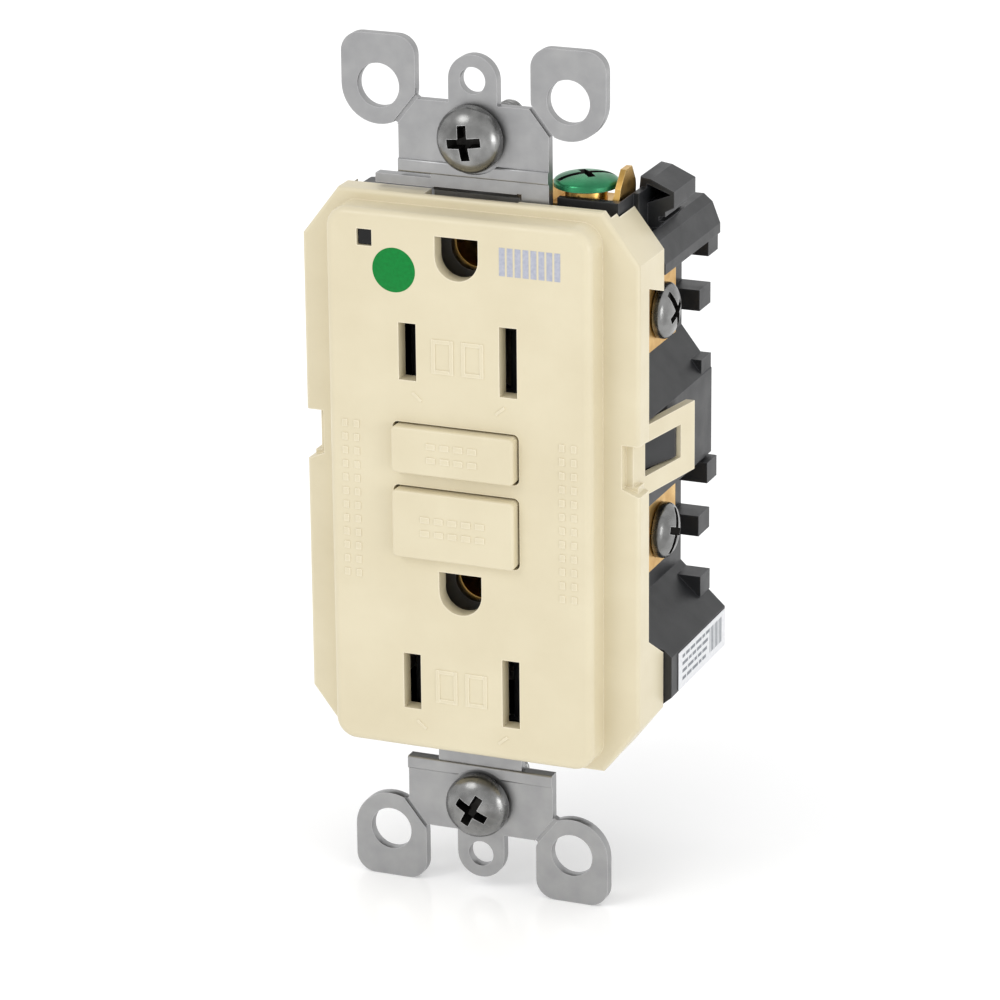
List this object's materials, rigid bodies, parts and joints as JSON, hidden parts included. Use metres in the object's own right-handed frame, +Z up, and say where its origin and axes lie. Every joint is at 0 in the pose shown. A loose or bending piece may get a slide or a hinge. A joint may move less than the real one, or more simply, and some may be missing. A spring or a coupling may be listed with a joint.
{
  "type": "ground fault receptacle outlet",
  "caption": "Duplex ground-fault receptacle with a rectangular ivory face, test and reset buttons, black rear housing, side terminal clamps and a plated mounting strap with break-off ears.",
  "frame": {"origin": "midway between the two mounting screws, on the wall side of the strap", "axes": "+Y into the wall box along the mounting screws, +Z up along the strap with each ground hole above its slots, +X to the right of someone facing the outlet"},
  "size_m": [0.0448, 0.0326, 0.106],
  "materials": {
    "ivory_plastic": "satin moulded ivory nylon",
    "black_plastic": "black moulded nylon, light sheen",
    "inner_plastic": "natural moulded nylon",
    "strap_steel": "zinc-plated stamped steel",
    "screw_steel": "nickel-plated steel screws",
    "green_steel": "green-dyed plated steel",
    "brass": "plain rolled brass",
    "copper": "enamelled copper winding",
    "label_white": "white printed label film",
    "fibre": "brown fibre",
    "spring_steel": "spring steel wire",
    "smoked_plastic": "smoked moulded plastic",
    "board_green": "coated circuit board",
    "component_blue": "dipped coating",
    "component_tan": "lacquered component body",
    "component_black": "moulded component body",
    "component_yellow": "moulded component case"
  },
  "bodies": {
    "device": {"assembly_screws": "screw_steel", "circuit_board": "board_green", "coil_boot": "inner_plastic", "control_chip": "component_black", "face_cover": "ivory_plastic", "fault_sensing_coil": "component_black", "film_capacitor": "component_yellow", "hot_face_contact": "brass", "light_pipe": "smoked_plastic", "line_conductors": "copper", "line_hot_terminal": "brass", "line_neutral_terminal": "brass", "load_hot_terminal": "brass", "load_neutral_terminal": "brass", "lower_ground_contact": "brass", "lower_shutter_spring": "spring_steel", "mounting_strap": "strap_steel", "neutral_face_contact": "brass", "neutral_sensing_coil": "component_yellow", "plunger_spring": "spring_steel", "rear_housing": "black_plastic", "reset_spring": "spring_steel", "resistors": "component_tan", "retaining_washers": "fibre", "separator": "inner_plastic", "side_label": "label_white", "solenoid_bobbin": "inner_plastic", "solenoid_coil": "copper", "status_led": "smoked_plastic", "surge_varistor": "component_blue", "test_contact_post": "copper", "test_return_spring": "spring_steel", "upper_ground_contact": "brass", "upper_shutter_spring": "spring_steel"},
    "upper_screw_body": {"upper_device_screw": "screw_steel"},
    "lower_screw_body": {"lower_device_screw": "screw_steel"},
    "line_neutral_clamp_body": {"line_neutral_clamp": "brass"},
    "line_neutral_screw_body": {"line_neutral_screw": "screw_steel"},
    "line_hot_clamp_body": {"line_hot_clamp": "brass"},
    "line_hot_screw_body": {"line_hot_screw": "brass"},
    "load_neutral_clamp_body": {"load_neutral_clamp": "brass"},
    "load_neutral_screw_body": {"load_neutral_screw": "screw_steel"},
    "load_hot_clamp_body": {"load_hot_clamp": "brass"},
    "load_hot_screw_body": {"load_hot_screw": "brass"},
    "ground_clamp_body": {"ground_clamp": "brass"},
    "ground_screw_body": {"ground_screw": "green_steel"},
    "test_button_body": {"test_button": "ivory_plastic"},
    "reset_button_body": {"reset_button": "ivory_plastic"},
    "test_leaf_body": {"test_contact_leaf": "copper"},
    "upper_shutter_body": {"upper_shutter": "black_plastic"},
    "lower_shutter_body": {"lower_shutter": "black_plastic"},
    "carriage_body": {"contact_carriage": "inner_plastic"},
    "neutral_arm_body": {"neutral_contact_arm": "brass"},
    "hot_arm_body": {"hot_contact_arm": "brass"},
    "latch_plate_body": {"latch_plate": "strap_steel"},
    "plunger_body": {"solenoid_plunger": "strap_steel"}
  },
  "joints": [
    {"name": "upper_mounting_screw_turn", "type": "hinge", "parent": "device", "child": "upper_screw_body", "pos_m": [0, 0, 0.04165], "axis": [0, 1, 0], "continuous": true},
    {"name": "lower_mounting_screw_turn", "type": "hinge", "parent": "device", "child": "lower_screw_body", "pos_m": [0, 0, -0.04165], "axis": [0, 1, 0], "continuous": true},
    {"name": "line_neutral_clamp_slide", "type": "slide", "parent": "device", "child": "line_neutral_clamp_body", "axis": [-1, 0, 0], "range_m": [-0.0011, 0.0006]},
    {"name": "line_neutral_screw_turn", "type": "hinge", "parent": "line_neutral_clamp_body", "child": "line_neutral_screw_body", "pos_m": [0.019, 0.0104, 0.0195], "axis": [-1, 0, 0], "range_deg": [-500, 275]},
    {"name": "line_hot_clamp_slide", "type": "slide", "parent": "device", "child": "line_hot_clamp_body", "axis": [1, 0, 0], "range_m": [-0.0011, 0.0006]},
    {"name": "line_hot_screw_turn", "type": "hinge", "parent": "line_hot_clamp_body", "child": "line_hot_screw_body", "pos_m": [-0.019, 0.0104, 0.0195], "axis": [1, 0, 0], "range_deg": [-500, 275]},
    {"name": "load_neutral_clamp_slide", "type": "slide", "parent": "device", "child": "load_neutral_clamp_body", "axis": [-1, 0, 0], "range_m": [-0.0011, 0.0006]},
    {"name": "load_neutral_screw_turn", "type": "hinge", "parent": "load_neutral_clamp_body", "child": "load_neutral_screw_body", "pos_m": [0.019, 0.0104, -0.008], "axis": [-1, 0, 0], "range_deg": [-500, 275]},
    {"name": "load_hot_clamp_slide", "type": "slide", "parent": "device", "child": "load_hot_clamp_body", "axis": [1, 0, 0], "range_m": [-0.0011, 0.0006]},
    {"name": "load_hot_screw_turn", "type": "hinge", "parent": "load_hot_clamp_body", "child": "load_hot_screw_body", "pos_m": [-0.019, 0.0104, -0.008], "axis": [1, 0, 0], "range_deg": [-500, 275]},
    {"name": "ground_clamp_slide", "type": "slide", "parent": "device", "child": "ground_clamp_body", "axis": [0, 0, -1], "range_m": [-0.001, 0.0005]},
    {"name": "ground_screw_turn", "type": "hinge", "parent": "ground_clamp_body", "child": "ground_screw_body", "pos_m": [0.0119, 0.0043, 0.036], "axis": [0, 0, -1], "range_deg": [-460, 230]},
    {"name": "test_button_press", "type": "slide", "parent": "device", "child": "test_button_body", "axis": [0, 1, 0], "range_m": [0, 0.001], "stiffness_N_per_m": 400, "springref_m": -0.001, "deforming": ["test_return_spring"]},
    {"name": "test_leaf_bend", "type": "hinge", "parent": "device", "child": "test_leaf_body", "pos_m": [-0.012, 0.0141, 0.0048], "axis": [0, 0, 1], "range_deg": [0, 5.2]},
    {"name": "reset_button_press", "type": "slide", "parent": "device", "child": "reset_button_body", "axis": [0, 1, 0], "range_m": [-0.001, 0.001], "stiffness_N_per_m": 500, "deforming": ["reset_spring"]},
    {"name": "upper_shutter_slide", "type": "slide", "parent": "device", "child": "upper_shutter_body", "axis": [1, 0, 0], "range_m": [0, 0.0025], "stiffness_N_per_m": 60, "springref_m": -0.001, "deforming": ["upper_shutter_spring"]},
    {"name": "lower_shutter_slide", "type": "slide", "parent": "device", "child": "lower_shutter_body", "axis": [1, 0, 0], "range_m": [0, 0.0025], "stiffness_N_per_m": 60, "springref_m": -0.001, "deforming": ["lower_shutter_spring"]},
    {"name": "carriage_drop", "type": "slide", "parent": "device", "child": "carriage_body", "axis": [0, 1, 0], "range_m": [0, 0.001], "stiffness_N_per_m": 200, "springref_m": -0.0005},
    {"name": "neutral_arm_swing", "type": "hinge", "parent": "device", "child": "neutral_arm_body", "pos_m": [0, 0.01625, 0.0073], "axis": [1, 0, 0], "range_deg": [0, 5.2]},
    {"name": "hot_arm_swing", "type": "hinge", "parent": "device", "child": "hot_arm_body", "pos_m": [0, 0.01625, 0.0073], "axis": [1, 0, 0], "range_deg": [0, 5.2]},
    {"name": "plunger_pull", "type": "slide", "parent": "device", "child": "plunger_body", "axis": [0, 0, 1], "range_m": [0, 0.0012], "stiffness_N_per_m": 60, "springref_m": -0.001, "deforming": ["plunger_spring"]},
    {"name": "latch_plate_slide", "type": "slide", "parent": "carriage_body", "child": "latch_plate_body", "axis": [0, 0, 1], "range_m": [0, 0.0013]}
  ],
  "couplings": [
    {"joint": "line_neutral_screw_turn", "follows": "line_neutral_clamp_slide", "rad_per_m": 7915.8},
    {"joint": "line_hot_screw_turn", "follows": "line_hot_clamp_slide", "rad_per_m": 7915.8},
    {"joint": "load_neutral_screw_turn", "follows": "load_neutral_clamp_slide", "rad_per_m": 7915.8},
    {"joint": "load_hot_screw_turn", "follows": "load_hot_clamp_slide", "rad_per_m": 7915.8},
    {"joint": "ground_screw_turn", "follows": "ground_clamp_slide", "rad_per_m": 7915.8},
    {"joint": "test_leaf_bend", "follows": "test_button_press", "rad_per_m": 83.33},
    {"joint": "neutral_arm_swing", "follows": "carriage_drop", "rad_per_m": 85.47},
    {"joint": "hot_arm_swing", "follows": "carriage_drop", "rad_per_m": 85.47},
    {"joint": "latch_plate_slide", "follows": "plunger_pull", "ratio": 1}
  ]
}
